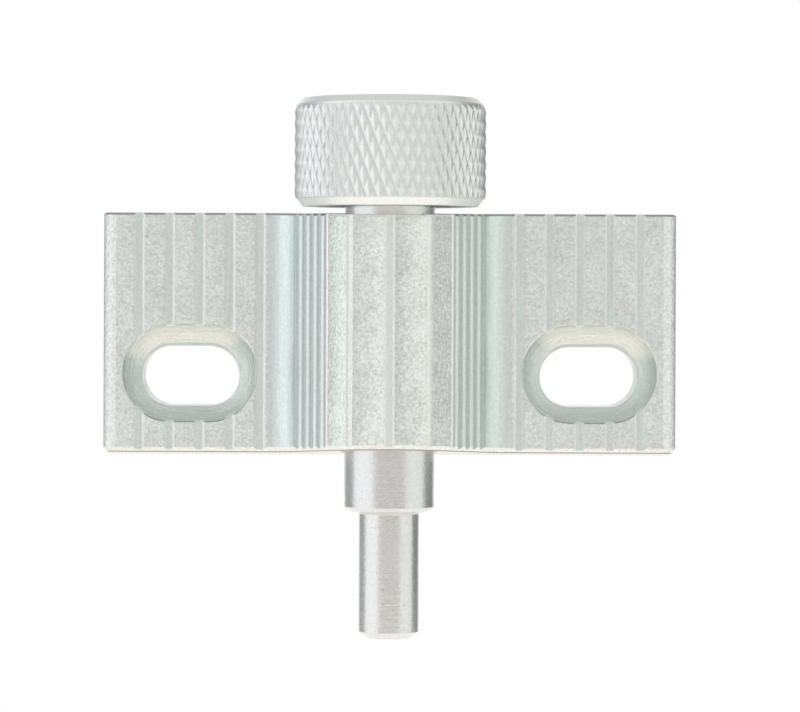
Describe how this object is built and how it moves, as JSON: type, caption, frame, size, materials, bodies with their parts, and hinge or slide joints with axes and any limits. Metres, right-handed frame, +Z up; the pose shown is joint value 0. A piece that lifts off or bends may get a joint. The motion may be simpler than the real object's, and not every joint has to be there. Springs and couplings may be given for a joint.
{
  "type": "patio door lock",
  "caption": "Sliding door bolt lock: a fluted metal housing with slotted screw seats carries a stepped bolt that a knurled knob lifts and turns.",
  "frame": {"origin": "midpoint between the two screw slots, on the flat mounting face at the back of the housing", "axes": "+Z up along the bolt towards the knob, +Y out of the mounting face towards the door, +X along the row of screw slots"},
  "size_m": [0.0608, 0.0209, 0.0566],
  "materials": {
    "housing": "extruded, machined and tumbled",
    "bolt": "turned and bright plated",
    "knob": "turned and diamond knurled",
    "guide_screw": "black oxide",
    "friction_ring": "moulded"
  },
  "bodies": {
    "housing_body": {"housing": "housing", "guide_screw": "guide_screw"},
    "ring_body": {"friction_ring": "friction_ring"},
    "bolt_body": {"bolt": "bolt", "knob": "knob"}
  },
  "joints": [
    {"name": "bolt_lift", "type": "slide", "parent": "housing_body", "child": "ring_body", "axis": [0, 0, 1], "range_m": [0, 0.0127]},
    {"name": "bolt_turn", "type": "hinge", "parent": "ring_body", "child": "bolt_body", "pos_m": [0, -0.0108, 0], "axis": [0, 0, 1], "range_deg": [0, 90]}
  ]
}
